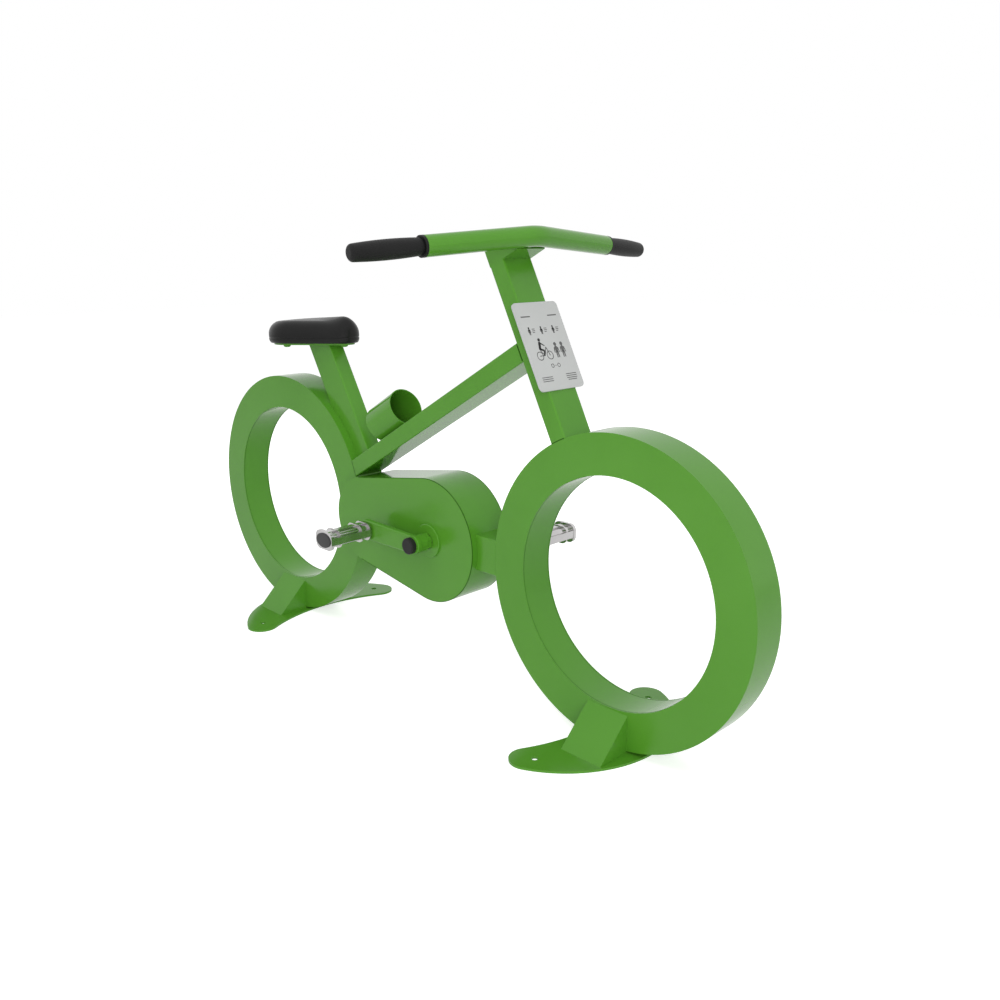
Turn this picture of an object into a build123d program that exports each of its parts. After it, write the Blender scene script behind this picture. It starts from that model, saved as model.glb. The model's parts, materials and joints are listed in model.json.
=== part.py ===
"""Outdoor fitness station: a fixed exercise bicycle for parks, welded from
box-section steel, with two ring-shaped supports in place of wheels, pedals on a
crank and a belt-driven flywheel inside the drive case.

Millimetres. +X is forward, +Y is the rider's left, +Z is up. The origin is on the
ground, midway between the two rings.
"""
from build123d import *
from math import atan2, cos, degrees, hypot, radians, sin, sqrt
import os

os.makedirs("parts", exist_ok=True)

# Clearances
weld_gap = 0.2           # between a coped tube end and the curved face it is welded to
run_gap = 0.05           # radial, shaft turning in a bearing
slip_gap = 0.02          # radial, pieces that slide together and stay
bolt_gap = 0.2           # radial, bolt in its hole
axial_gap = 0.3          # end play beside a bearing

# Box-section tube of the frame
tube_wide = 80.0
tube_narrow = 40.0
tube_wall = 3.0
tube_corner_r = 3.0

# Rings that take the place of the wheels
ring_gap = 470.0         # clear distance between the two rings at axle height
ring_outer_r = 315.0
ring_depth = 82.0        # outer face to inner face
ring_inner_r = ring_outer_r - ring_depth
ring_width = tube_wide   # flush with the tubes that stand on a ring
ring_sheet = 3.0
ring_seat_flat = 1.0     # depth of the flat where a ring stands on its base plate

# Base plates and gussets
base_thickness = 5.0
base_tip_reach = 73.0    # tip centre from the ring's axis, towards the middle
base_tip_span = 191.0    # tip centre from the mid plane
base_tip_r = 38.0
base_back = 86.5         # outer edge from the ring's axis, on the mid plane
base_waist = 64.0        # inner edge from the ring's axis, on the mid plane
anchor_hole_r = 7.0
anchor_back = 11.0       # hole from the tip's centre, towards the ring's axis
anchor_in = 8.0          # hole from the tip's centre, towards the mid plane
gusset_length = 100.0
gusset_reach = 80.0
gusset_height = 78.0
gusset_sheet = 4.0

# Drive case
crank_setback = 271.6    # crank axis ahead of the rear ring's front
case_front_r = 143.4
case_rear_r = 105.0
case_centres = 239.0
case_width = 110.0
case_sheet = 3.0
lug_r = 6.0
lug_ring_gap = 2.0
lug_swing = 75.0         # degrees of arc from the level lug to the next one
screw_r = 3.0
screw_head_r = 5.5
screw_head = 3.0

# Front column, stem and handlebar
column_lean = 26.8       # degrees back from upright
column_length = 372.0    # above the ring's outer face, on the axis
stem_height = 40.0
stem_reach = 42.0        # ahead of the column's front face
bar_r = 20.0
bar_wall = 2.5
bar_ahead = 22.0         # middle of the bend ahead of the stem's front face
bar_drop = 4.5           # bar's axis below the stem's middle
bar_sweep = 9.3          # degrees each arm sweeps back
bar_bend_r = 130.0
bar_half_span = 256.0    # mid plane to the tube's end
bar_edge_r = 1.8
grip_length = 151.0
grip_inner_r = 16.0
grip_middle_r = 18.2
grip_outer_r = 15.8
grip_flange_r = 20.0
grip_flange = 6.0
grip_end = 8.0           # rubber beyond the stub's end
grip_edge_r = 8.0
stub_r = 12.5
stub_plug = 25.0

# Sign
sign_rise = 186.0        # sign's middle above the ring's outer face
sign_width = 128.0
sign_height = 183.0
sign_corner_r = 10.0
sign_thickness = 3.5

# Top tube, seat tube and saddle
top_joint = 193.0        # top tube's axis on the column, above the ring's outer face
top_foot_turn = 21.8     # degrees up the rear ring to the top tube's foot
seat_foot = 13.0         # seat tube's axis from the top tube's foot
saddle_height = 727.0    # underside of the saddle plate, over the seat tube's axis
saddle_tilt = 1.7        # degrees, nose up
saddle_plate_thickness = 4.0
saddle_plate_inset = 12.0
pad_height = 58.0        # over the seat tube's axis
pad_wedge = 3.0          # degrees the crown rises towards the nose
pad_wing_x = 58.8        # wing centres behind the seat tube
pad_wing_y = 38.7
pad_wing_r = 72.2
pad_nose_x = 82.2        # nose centre ahead of the seat tube
pad_nose_r = 37.3
pad_flank_r = 2500.0     # hollow of the flanks
pad_under_roll = 19.0
pad_crown_roll = 35.0
pad_under_turns = (-40.0, -20.0, 0.0)            # degrees, sections of the lower edge
pad_crown_turns = (0.0, 20.0, 40.0, 60.0, 76.0)  # degrees, sections of the crown
saddle_bolt_r = 4.0
saddle_bolt_head_r = 9.0
saddle_bolt_head = 6.0
saddle_bolt_dome = 4.5
saddle_bolt_bite = 12.0
saddle_bolt_nose_x = 82.0
saddle_bolt_back = 47.5
saddle_bolt_wing_y = 80.0

# Bottle tube
bottle_r = 44.5
bottle_wall = 2.0
bottle_length = 105.0
bottle_floor = 3.0
bottle_ahead = 62.0      # its floor from the seat tube's front face

# Crank
crank_length = 170.0
arm_height = 42.0
arm_end_r = 24.0         # round the pedal's spindle
arm_thickness = 14.5
arm_edge_r = 4.0
arm_inset = 17.0         # arm's inner face from the hub's inner end
hub_r = 20.0
hub_length = 34.0
cap_r = 18.5
cap_height = 13.0
cap_edge_r = 4.0
cap_plug = 6.0
journal_r = 12.5
collar_r = 15.0
spigot_r = 10.0
nut_flats = 35.0
nut_height = 12.0
nut_stand = 1.0          # nut off the bearing flange
flange_r = 39.0
flange_thickness = 5.0
flange_chamfer = 1.2
cup_r = 31.0
cup_depth = 18.0         # behind the case's inner face
cup_lip_r = 18.0
crank_bearing_r = 26.0
crank_bearing_width = 15.0

# Belt drive and flywheel
pulley_side_gap = 4.0
belt_width = 16.0
belt_thickness = 4.0
belt_gap = 0.3
crank_pulley_r = 96.0
crank_pulley_web = 6.0
pulley_rim = 10.0
pulley_hub_r = 27.0
pulley_hole_r = 15.0
pulley_holes = 6
fly_pulley_r = 32.0
flywheel_r = 88.0
flywheel_ring_gap = 22.0
flywheel_thickness = 22.0
flywheel_web = 10.0
flywheel_rim = 24.0
flywheel_side = 6.0      # flywheel's face from its hub's end
fly_hub_r = 26.0
fly_bearing_r = 20.0
fly_bearing_width = 12.0
fly_axle_r = 8.5
fly_bore_r = 15.0
boss_r = 18.0
boss_depth = 16.0
boss_floor = 2.0

# Pedals
pedal_stand = 4.5        # pedal's inner end from the arm
pedal_length = 113.0
pedal_flange_wide = 61.0
pedal_flange_high = 44.0
pedal_web_wide = 57.0
pedal_web_high = 41.0
pedal_corner_r = 15.0
pedal_core_wide = 46.0
pedal_core_high = 31.0
pedal_core_corner_r = 11.0
pedal_bar_wide = 59.0    # across the front and rear tread bars
pedal_bar_high = 17.0
pedal_rib_wide = 15.0    # tread ribs above and below the core
pedal_rib_high = 38.0
pedal_web = 3.5
pedal_flange = 8.0       # outer end
pedal_end_pocket = 19.0
pedal_bore_r = 12.0
pedal_cap_wide = 51.0
pedal_cap_high = 34.0
pedal_cap_height = 3.0
pedal_cap_edge_r = 1.5
pedal_cap_plug = 8.0
spindle_r = 7.0
spindle_collar_r = 10.0
bush_length = 20.0
pedal_nut_flats = 17.0
pedal_nut_height = 8.0

# Places that follow from the sizes above
axis_z = base_thickness + ring_outer_r - ring_seat_flat
front_x = ring_gap / 2 + ring_outer_r
rear_x = -front_x
crank_x = -ring_gap / 2 + crank_setback
case_rear_x = crank_x - case_centres
case_half = case_width / 2
case_inside = case_half - case_sheet
ring_half = ring_width / 2
half_wide = tube_wide / 2
half_narrow = tube_narrow / 2
cut_width = 2 * (case_width + ring_width + tube_wide)

column_dir = Vector(-sin(radians(column_lean)), 0, cos(radians(column_lean)))
column_ahead = Vector(cos(radians(column_lean)), 0, sin(radians(column_lean)))
left_dir = Vector(0, 1, 0)
front_centre = Vector(front_x, 0, axis_z)
rear_centre = Vector(rear_x, 0, axis_z)
stem_low = ring_outer_r + column_length
stem_middle = stem_low + stem_height / 2
column_plane = Plane(origin=front_centre, x_dir=left_dir, z_dir=column_dir)

top_head = front_centre + column_dir * (ring_outer_r + top_joint)
top_foot = rear_centre + Vector(
    ring_outer_r * cos(radians(top_foot_turn)), 0, ring_outer_r * sin(radians(top_foot_turn)))
top_run = top_head - top_foot
top_dir = top_run.normalized()
top_up = Vector(-top_dir.Z, 0, top_dir.X)
top_plane = Plane(origin=top_foot, x_dir=left_dir, z_dir=top_dir)
seat_origin = top_foot + top_dir * seat_foot
seat_plane = Plane(origin=seat_origin, x_dir=left_dir, z_dir=top_up)
seat_rise = (saddle_height - seat_origin.Z) / top_up.Z
saddle_x = seat_origin.X + top_up.X * seat_rise
saddle_plane = Plane(
    origin=(saddle_x, 0, saddle_height),
    x_dir=(cos(radians(saddle_tilt)), 0, sin(radians(saddle_tilt))),
    z_dir=(-sin(radians(saddle_tilt)), 0, cos(radians(saddle_tilt))),
)
saddle_bolts_at = [
    (saddle_bolt_nose_x, 0),
    (-saddle_bolt_back, saddle_bolt_wing_y),
    (-saddle_bolt_back, -saddle_bolt_wing_y),
]

bottle_start = top_foot + top_dir * (seat_foot + half_wide + bottle_ahead)
bottle_base = bottle_start + top_up * (half_narrow + weld_gap + bottle_r)
bottle_plane = Plane(origin=bottle_base, x_dir=left_dir, z_dir=top_dir)

flange_face = case_half + flange_thickness
nut_face = flange_face + nut_stand
hub_face = nut_face + nut_height
hub_end = hub_face + hub_length
arm_face = hub_face + arm_inset
arm_out = arm_face + arm_thickness
cup_end = case_inside - cup_depth
spigot_end = hub_end - cap_plug - axial_gap
collar_half = cup_end - axial_gap
pulley_out = cup_end - pulley_side_gap
pulley_in = pulley_out - belt_width
fly_x = -ring_gap / 2 + flywheel_ring_gap + flywheel_r
boss_end = case_inside - boss_depth
fly_hub_half = boss_end - pulley_side_gap
flywheel_out = fly_hub_half - flywheel_side
fly_axle_half = case_inside - boss_floor
pedal_in = arm_out + pedal_stand
pedal_out = pedal_in + pedal_length
pedal_cap_face = pedal_out - pedal_cap_plug
pedal_nut_out = pedal_cap_face - axial_gap
pedal_nut_in = pedal_nut_out - pedal_nut_height
bush_out = pedal_nut_in - axial_gap
lug_depth = case_inside - ring_half - lug_ring_gap
cover_screw_length = case_sheet + lug_depth - ring_sheet

# Each side's own plane at the crank axis: local Z runs outwards, local X along the arm.
crank_planes = {
    "right": Plane(origin=(crank_x, 0, axis_z), x_dir=(-1, 0, 0), z_dir=(0, -1, 0)),
    "left": Plane(origin=(crank_x, 0, axis_z), x_dir=(1, 0, 0), z_dir=(0, 1, 0)),
}
fly_planes = {
    "right": Plane(origin=(fly_x, 0, axis_z), x_dir=(1, 0, 0), z_dir=(0, -1, 0)),
    "left": Plane(origin=(fly_x, 0, axis_z), x_dir=(1, 0, 0), z_dir=(0, 1, 0)),
}


def between(centre, radius, first, second):
    """Point of a circle halfway round the shorter arc between two of its points."""
    way = (first - centre).normalized() + (second - centre).normalized()
    return centre + way.normalized() * radius


def case_outline(inset):
    """Teardrop of the drive case, drawn in the open sketch on the mid plane."""
    with Locations((crank_x, axis_z)):
        Circle(case_front_r - inset)
    with Locations((case_rear_x, axis_z)):
        Circle(case_rear_r - inset)
    make_hull()


def belt_outline(extra):
    """Loop round both pulleys, drawn in the open sketch on the mid plane."""
    with Locations((crank_x, axis_z)):
        Circle(crank_pulley_r + extra)
    with Locations((fly_x, axis_z)):
        Circle(fly_pulley_r + extra)
    make_hull()


def base_outline(centre_x, inward):
    """Crescent of a base plate, with its two round tips swept towards the middle."""
    tip = Vector(base_tip_reach, base_tip_span)
    back_room = base_back - base_tip_r
    back_x = (tip.X**2 + tip.Y**2 - back_room**2) / (2 * (back_room + tip.X))
    waist_room = base_waist - base_tip_r
    waist_x = (tip.X**2 + tip.Y**2 - waist_room**2) / (2 * (tip.X - waist_room))
    back_centre = Vector(back_x, 0)
    waist_centre = Vector(waist_x, 0)
    out_way = (tip - back_centre).normalized()
    in_way = (waist_centre - tip).normalized()
    out_point = tip + out_way * base_tip_r
    in_point = tip + in_way * base_tip_r
    tip_point = between(tip, base_tip_r, out_point, in_point)

    def at(point, side):
        return (centre_x + inward * point.X, side * point.Y)

    ThreePointArc(at(out_point, 1), (centre_x - inward * base_back, 0), at(out_point, -1))
    ThreePointArc(at(out_point, -1), at(tip_point, -1), at(in_point, -1))
    ThreePointArc(at(in_point, -1), (centre_x + inward * base_waist, 0), at(in_point, 1))
    ThreePointArc(at(in_point, 1), at(tip_point, 1), at(out_point, 1))


def saddle_outline(inset):
    """Pear outline of the saddle: two wings, hollow flanks and a round nose."""
    wing = Vector(-pad_wing_x, pad_wing_y)
    nose = Vector(pad_nose_x, 0)
    wing_r = pad_wing_r - inset
    nose_r = pad_nose_r - inset
    flank_r = pad_flank_r + inset
    span = nose - wing
    to_wing = wing_r + flank_r
    to_nose = nose_r + flank_r
    along = (span.length**2 + to_wing**2 - to_nose**2) / (2 * span.length)
    aside = sqrt(to_wing**2 - along**2)
    way = span.normalized()
    flank = wing + way * along + Vector(-way.Y, way.X) * aside
    rear_point = wing - Vector(wing_r, 0)
    wing_point = wing + (flank - wing).normalized() * wing_r
    nose_point = nose + (flank - nose).normalized() * nose_r
    nose_tip = nose + Vector(nose_r, 0)
    wing_mid = between(wing, wing_r, rear_point, wing_point)
    flank_mid = between(flank, flank_r, wing_point, nose_point)
    nose_mid = between(nose, nose_r, nose_point, nose_tip)

    def at(point, side):
        return (point.X, side * point.Y)

    Line(at(rear_point, -1), at(rear_point, 1))
    ThreePointArc(at(rear_point, 1), at(wing_mid, 1), at(wing_point, 1))
    ThreePointArc(at(wing_point, 1), at(flank_mid, 1), at(nose_point, 1))
    ThreePointArc(at(nose_point, 1), at(nose_mid, 1), at(nose_tip, 1))
    ThreePointArc(at(nose_tip, -1), at(nose_mid, -1), at(nose_point, -1))
    ThreePointArc(at(nose_point, -1), at(flank_mid, -1), at(wing_point, -1))
    ThreePointArc(at(wing_point, -1), at(wing_mid, -1), at(rear_point, -1))


def tube_section(across, deep):
    """Hollow box section with rounded corners, drawn in the open sketch."""
    RectangleRounded(across, deep, tube_corner_r)
    Rectangle(across - 2 * tube_wall, deep - 2 * tube_wall, mode=Mode.SUBTRACT)


# Rings: two side plates, an outer band and an inner band each, cut flat at the foot
for end, centre_x, inward in (("rear", rear_x, 1), ("front", front_x, -1)):
    ring_ground = Plane.XY.offset(base_thickness)
    for side, outer_face in (("right", ring_half - ring_sheet), ("left", -ring_half)):
        with BuildPart() as ring_plate:
            with BuildSketch(Plane.XZ.offset(outer_face)):
                with Locations((centre_x, axis_z)):
                    Circle(ring_outer_r)
                    Circle(ring_inner_r, mode=Mode.SUBTRACT)
            extrude(amount=ring_sheet)
            split(bisect_by=ring_ground, keep=Keep.TOP)
        ring_plate.part.label = f"{end}_ring_{side}_plate"
        export_step(ring_plate.part, f"parts/{end}_ring_{side}_plate.step")

    with BuildPart() as outer_band:
        with BuildSketch(Plane.XZ):
            with Locations((centre_x, axis_z)):
                Circle(ring_outer_r)
                Circle(ring_outer_r - ring_sheet, mode=Mode.SUBTRACT)
        extrude(amount=ring_half - ring_sheet, both=True)
        split(bisect_by=ring_ground, keep=Keep.TOP)
    outer_band.part.label = f"{end}_ring_outer_band"
    export_step(outer_band.part, f"parts/{end}_ring_outer_band.step")

    with BuildPart() as inner_band:
        with BuildSketch(Plane.XZ):
            with Locations((centre_x, axis_z)):
                Circle(ring_inner_r + ring_sheet)
                Circle(ring_inner_r, mode=Mode.SUBTRACT)
        extrude(amount=ring_half - ring_sheet, both=True)
    inner_band.part.label = f"{end}_ring_inner_band"
    export_step(inner_band.part, f"parts/{end}_ring_inner_band.step")

    # Crescent base plate with an anchor hole in each tip
    with BuildPart() as base_plate:
        with BuildSketch(Plane.XY):
            with BuildLine():
                base_outline(centre_x, inward)
            make_face()
            with Locations(
                (centre_x + inward * (base_tip_reach - anchor_back), base_tip_span - anchor_in),
                (centre_x + inward * (base_tip_reach - anchor_back), anchor_in - base_tip_span),
            ):
                Circle(anchor_hole_r, mode=Mode.SUBTRACT)
        extrude(amount=base_thickness)
    base_plate.part.label = f"{end}_base_plate"
    export_step(base_plate.part, f"parts/{end}_base_plate.step")

    # Folded gusset on each side, open underneath and against the ring
    for side, way in (("right", -1), ("left", 1)):
        slope = hypot(gusset_reach, gusset_height)
        inner_reach = gusset_reach - gusset_sheet * slope / gusset_height
        inner_height = gusset_height - gusset_sheet * slope / gusset_reach
        with BuildPart() as gusset:
            with BuildSketch(Plane.YZ.offset(centre_x - gusset_length / 2)):
                with BuildLine():
                    Polyline(
                        (way * ring_half, base_thickness),
                        (way * (ring_half + gusset_reach), base_thickness),
                        (way * ring_half, base_thickness + gusset_height),
                        close=True,
                    )
                make_face()
            extrude(amount=gusset_length)
            with BuildSketch(Plane.YZ.offset(centre_x - gusset_length / 2 + gusset_sheet)):
                with BuildLine():
                    Polyline(
                        (way * ring_half, base_thickness),
                        (way * (ring_half + inner_reach), base_thickness),
                        (way * ring_half, base_thickness + inner_height),
                        close=True,
                    )
                make_face()
            extrude(amount=gusset_length - 2 * gusset_sheet, mode=Mode.SUBTRACT)
        gusset.part.label = f"{end}_{side}_gusset"
        export_step(gusset.part, f"parts/{end}_{side}_gusset.step")

# Drive case: rim strip notched round the rear ring, and two side plates
with BuildPart() as case_rim:
    with BuildSketch(Plane.XZ):
        case_outline(0)
        offset(amount=-case_sheet, mode=Mode.SUBTRACT)
    extrude(amount=case_inside, both=True)
    with BuildSketch(Plane.XZ):
        with Locations((rear_x, axis_z)):
            Circle(ring_outer_r + weld_gap)
            Circle(ring_inner_r - weld_gap, mode=Mode.SUBTRACT)
    extrude(amount=ring_half + weld_gap, both=True, mode=Mode.SUBTRACT)
case_rim.part.label = "case_rim"
export_step(case_rim.part, "parts/case_rim.step")

lug_front_r = case_front_r - case_sheet - weld_gap - lug_r
lug_rear_r = case_rear_r - case_sheet - weld_gap - lug_r
lugs_at = [
    (crank_x + lug_front_r, axis_z),
    (crank_x + lug_front_r * cos(radians(lug_swing)), axis_z + lug_front_r * sin(radians(lug_swing))),
    (crank_x + lug_front_r * cos(radians(lug_swing)), axis_z - lug_front_r * sin(radians(lug_swing))),
    (case_rear_x - lug_rear_r, axis_z),
    (case_rear_x - lug_rear_r * cos(radians(lug_swing)), axis_z + lug_rear_r * sin(radians(lug_swing))),
    (case_rear_x - lug_rear_r * cos(radians(lug_swing)), axis_z - lug_rear_r * sin(radians(lug_swing))),
]

with BuildPart() as case_right_plate:
    with BuildSketch(Plane.XZ.offset(case_inside)):
        case_outline(0)
        with Locations((crank_x, axis_z)):
            Circle(cup_r + slip_gap, mode=Mode.SUBTRACT)
    extrude(amount=case_sheet)
case_right_plate.part.label = "case_right_plate"
export_step(case_right_plate.part, "parts/case_right_plate.step")

# The left plate comes off for service, so it is screwed to lugs inside the rim
with BuildPart() as case_left_cover:
    with BuildSketch(Plane.XZ.offset(-case_half)):
        case_outline(0)
        with Locations((crank_x, axis_z)):
            Circle(cup_r + slip_gap, mode=Mode.SUBTRACT)
        with Locations(*lugs_at):
            Circle(screw_r + bolt_gap, mode=Mode.SUBTRACT)
    extrude(amount=case_sheet)
case_left_cover.part.label = "case_left_cover"
export_step(case_left_cover.part, "parts/case_left_cover.step")

with BuildPart() as case_lugs:
    with BuildSketch(Plane.XZ.offset(-case_inside)):
        with Locations(*lugs_at):
            Circle(lug_r)
            Circle(screw_r + slip_gap, mode=Mode.SUBTRACT)
    extrude(amount=lug_depth)
case_lugs.part.label = "case_lugs"
export_step(case_lugs.part, "parts/case_lugs.step")

with BuildPart() as cover_screws:
    with BuildSketch(Plane.XZ.offset(-case_half)):
        with Locations(*lugs_at):
            Circle(screw_r)
    extrude(amount=cover_screw_length)
    with BuildSketch(Plane.XZ.offset(-case_half - screw_head)):
        with Locations(*lugs_at):
            Circle(screw_head_r)
    extrude(amount=screw_head)
cover_screws.part.label = "cover_screws"
export_step(cover_screws.part, "parts/cover_screws.step")

# Short square link tube from the case to the front ring, coped to both
with BuildPart() as link_tube:
    with BuildSketch(Plane.YZ.offset(crank_x)):
        with Locations((0, axis_z)):
            tube_section(tube_wide, tube_wide)
    extrude(amount=front_x - crank_x)
    with BuildSketch(Plane.XZ):
        with Locations((crank_x, axis_z)):
            Circle(case_front_r + weld_gap)
        with Locations((front_x, axis_z)):
            Circle(ring_outer_r + weld_gap)
    extrude(amount=cut_width, both=True, mode=Mode.SUBTRACT)
link_tube.part.label = "link_tube"
export_step(link_tube.part, "parts/link_tube.step")

# Front column, square to the ring it stands on
with BuildPart() as front_column:
    with BuildSketch(column_plane.offset(ring_inner_r)):
        tube_section(tube_wide, tube_narrow)
    extrude(amount=stem_low - ring_inner_r)
    with BuildSketch(Plane.XZ):
        with Locations((front_x, axis_z)):
            Circle(ring_outer_r + weld_gap)
    extrude(amount=cut_width, both=True, mode=Mode.SUBTRACT)
front_column.part.label = "front_column"
export_step(front_column.part, "parts/front_column.step")

# Handlebar: one tube bent at its middle, in the plane square to the column
bar_corner = half_narrow + stem_reach + bar_ahead + bar_bend_r * (1 / cos(radians(bar_sweep)) - 1)
bar_plane = Plane(
    origin=front_centre + column_dir * (stem_middle - bar_drop) + column_ahead * bar_corner,
    x_dir=left_dir,
    z_dir=column_dir,
)
bar_back = bar_half_span * sin(radians(bar_sweep)) / cos(radians(bar_sweep))

with BuildPart() as handlebar:
    with BuildLine(bar_plane) as bar_path:
        FilletPolyline((-bar_half_span, bar_back), (0, 0), (bar_half_span, bar_back), radius=bar_bend_r)
    with BuildSketch(Plane(origin=bar_path.line @ 0, z_dir=bar_path.line % 0)):
        Circle(bar_r)
        Circle(bar_r - bar_wall, mode=Mode.SUBTRACT)
    sweep()
    end_rims = handlebar.edges().filter_by(GeomType.CIRCLE).filter_by(lambda rim: abs(rim.radius - bar_r) < slip_gap)
    fillet(end_rims, radius=bar_edge_r)
handlebar.part.label = "handlebar"
export_step(handlebar.part, "parts/handlebar.step")

# Stem: a capped piece of box tube on top of the column, coped to the handlebar
stem_plane = Plane(
    origin=front_centre + column_dir * stem_middle - column_ahead * half_narrow,
    x_dir=left_dir,
    z_dir=column_ahead,
)
stem_length = tube_narrow + stem_reach
with BuildPart() as stem:
    with BuildSketch(stem_plane):
        Rectangle(tube_wide, stem_height)
    extrude(amount=stem_length)
    with BuildSketch(stem_plane.offset(tube_wall)):
        Rectangle(tube_wide - 2 * tube_wall, stem_height - 2 * tube_wall)
    extrude(amount=stem_length, mode=Mode.SUBTRACT)
    with BuildLine(bar_plane) as cope_path:
        FilletPolyline((-bar_half_span, bar_back), (0, 0), (bar_half_span, bar_back), radius=bar_bend_r)
    with BuildSketch(Plane(origin=cope_path.line @ 0, z_dir=cope_path.line % 0)):
        Circle(bar_r + weld_gap)
    sweep(mode=Mode.SUBTRACT)
stem.part.label = "stem"
export_step(stem.part, "parts/stem.step")

# Handlebar ends: a turned stub plugged into the tube, and a rubber grip over it
bar_ends = {
    "right": (bar_path.line @ 0, bar_path.line % 0 * -1),
    "left": (bar_path.line @ 1, bar_path.line % 1),
}
stub_length = grip_length - grip_end
for side, (end_point, end_way) in bar_ends.items():
    end_plane = Plane(origin=end_point, x_dir=column_dir, z_dir=end_way)
    with BuildPart() as bar_stub:
        with BuildSketch(end_plane.offset(-stub_plug)):
            Circle(bar_r - bar_wall - slip_gap)
        extrude(amount=stub_plug)
        with BuildSketch(end_plane):
            Circle(stub_r)
        extrude(amount=stub_length)
    bar_stub.part.label = f"{side}_bar_stub"
    export_step(bar_stub.part, f"parts/{side}_bar_stub.step")

    # Barrel grip: flange against the tube, swelling middle and rounded closed end
    with BuildPart() as grip:
        with BuildSketch(Plane(origin=end_point, x_dir=column_dir, z_dir=end_plane.y_dir * -1)):
            with BuildLine():
                Polyline(
                    (0, grip_length),
                    (0, stub_length + slip_gap),
                    (stub_r + slip_gap, stub_length + slip_gap),
                    (stub_r + slip_gap, 0),
                    (grip_flange_r, 0),
                    (grip_flange_r, grip_flange),
                    (grip_inner_r, grip_flange),
                )
                ThreePointArc(
                    (grip_inner_r, grip_flange),
                    (grip_middle_r, grip_length / 2),
                    (grip_outer_r, grip_length - grip_edge_r),
                )
                RadiusArc(
                    (grip_outer_r, grip_length - grip_edge_r),
                    (grip_outer_r - grip_edge_r, grip_length),
                    -grip_edge_r,
                )
                Line((grip_outer_r - grip_edge_r, grip_length), (0, grip_length))
            make_face()
        revolve(axis=Axis(end_point, end_way))
    grip.part.label = f"{side}_grip"
    export_step(grip.part, f"parts/{side}_grip.step")

# Sign on the column's front face
sign_plane = Plane(
    origin=front_centre + column_dir * (ring_outer_r + sign_rise) + column_ahead * half_narrow,
    x_dir=left_dir,
    z_dir=column_ahead,
)
with BuildPart() as sign_plate:
    with BuildSketch(sign_plane):
        RectangleRounded(sign_width, sign_height, sign_corner_r)
    extrude(amount=sign_thickness)
sign_plate.part.label = "sign_plate"
export_step(sign_plate.part, "parts/sign_plate.step")

# Top tube, coped to the rear ring, clear of the case and cut by the column's rear face
column_back = Plane(
    origin=front_centre - column_ahead * half_narrow,
    x_dir=left_dir,
    z_dir=column_ahead * -1,
)
with BuildPart() as top_tube:
    with BuildSketch(top_plane.offset(-tube_wide)):
        tube_section(tube_wide, tube_narrow)
    extrude(amount=top_run.length + tube_wide)
    split(bisect_by=column_back, keep=Keep.TOP)
    with BuildSketch(Plane.XZ):
        with Locations((rear_x, axis_z)):
            Circle(ring_outer_r + weld_gap)
    extrude(amount=cut_width, both=True, mode=Mode.SUBTRACT)
    with BuildSketch(Plane.XZ):
        case_outline(-weld_gap)
    extrude(amount=cut_width, both=True, mode=Mode.SUBTRACT)
top_tube.part.label = "top_tube"
export_step(top_tube.part, "parts/top_tube.step")

# Seat tube, square to the top tube, standing on it and on the rear ring
with BuildPart() as seat_tube:
    with BuildSketch(seat_plane.offset(half_narrow)):
        tube_section(tube_narrow, tube_wide)
    extrude(amount=seat_rise + tube_wide)
    split(bisect_by=saddle_plane, keep=Keep.BOTTOM)
    with BuildSketch(Plane.XZ):
        with Locations((rear_x, axis_z)):
            Circle(ring_outer_r + weld_gap)
    extrude(amount=cut_width, both=True, mode=Mode.SUBTRACT)
seat_tube.part.label = "seat_tube"
export_step(seat_tube.part, "parts/seat_tube.step")

# Bottle tube welded along the top tube, with a floor disc closing its lower end
with BuildPart() as bottle_tube:
    with BuildSketch(bottle_plane.offset(bottle_floor)):
        Circle(bottle_r)
        Circle(bottle_r - bottle_wall, mode=Mode.SUBTRACT)
    extrude(amount=bottle_length - bottle_floor)
bottle_tube.part.label = "bottle_tube"
export_step(bottle_tube.part, "parts/bottle_tube.step")

with BuildPart() as bottle_disc:
    with BuildSketch(bottle_plane):
        Circle(bottle_r)
    extrude(amount=bottle_floor)
bottle_disc.part.label = "bottle_tube_floor"
export_step(bottle_disc.part, "parts/bottle_tube_floor.step")

# Saddle: steel plate, moulded pad and the bolts that join them
with BuildPart() as saddle_plate:
    with BuildSketch(saddle_plane):
        with BuildLine():
            saddle_outline(saddle_plate_inset)
        make_face()
        with Locations(*saddle_bolts_at):
            Circle(saddle_bolt_r + bolt_gap, mode=Mode.SUBTRACT)
    extrude(amount=saddle_plate_thickness)
saddle_plate.part.label = "saddle_plate"
export_step(saddle_plate.part, "parts/saddle_plate.step")

# Each section of the pad: how far it is drawn in, and its height above the plate
pad_sections = []
for turn in pad_under_turns:
    lift = sin(radians(turn)) - sin(radians(pad_under_turns[0]))
    pad_sections.append((pad_under_roll * (1 - cos(radians(turn))), pad_under_roll * lift))
for turn in pad_crown_turns:
    drop = sin(radians(pad_crown_turns[-1])) - sin(radians(turn))
    pad_sections.append((pad_crown_roll * (1 - cos(radians(turn))), pad_height - pad_crown_roll * drop))
with BuildPart() as saddle_pad:
    for inset, rise in pad_sections:
        lean = radians(saddle_tilt + pad_wedge * rise / pad_height)
        section_plane = Plane(
            origin=saddle_plane.origin + saddle_plane.z_dir * (saddle_plate_thickness + rise),
            x_dir=(cos(lean), 0, sin(lean)),
            z_dir=(-sin(lean), 0, cos(lean)),
        )
        with BuildSketch(section_plane):
            with BuildLine():
                saddle_outline(inset)
            make_face()
    loft()
    with BuildSketch(saddle_plane.offset(saddle_plate_thickness)):
        with Locations(*saddle_bolts_at):
            Circle(saddle_bolt_r + bolt_gap)
    extrude(amount=saddle_bolt_bite + axial_gap, mode=Mode.SUBTRACT)
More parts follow.
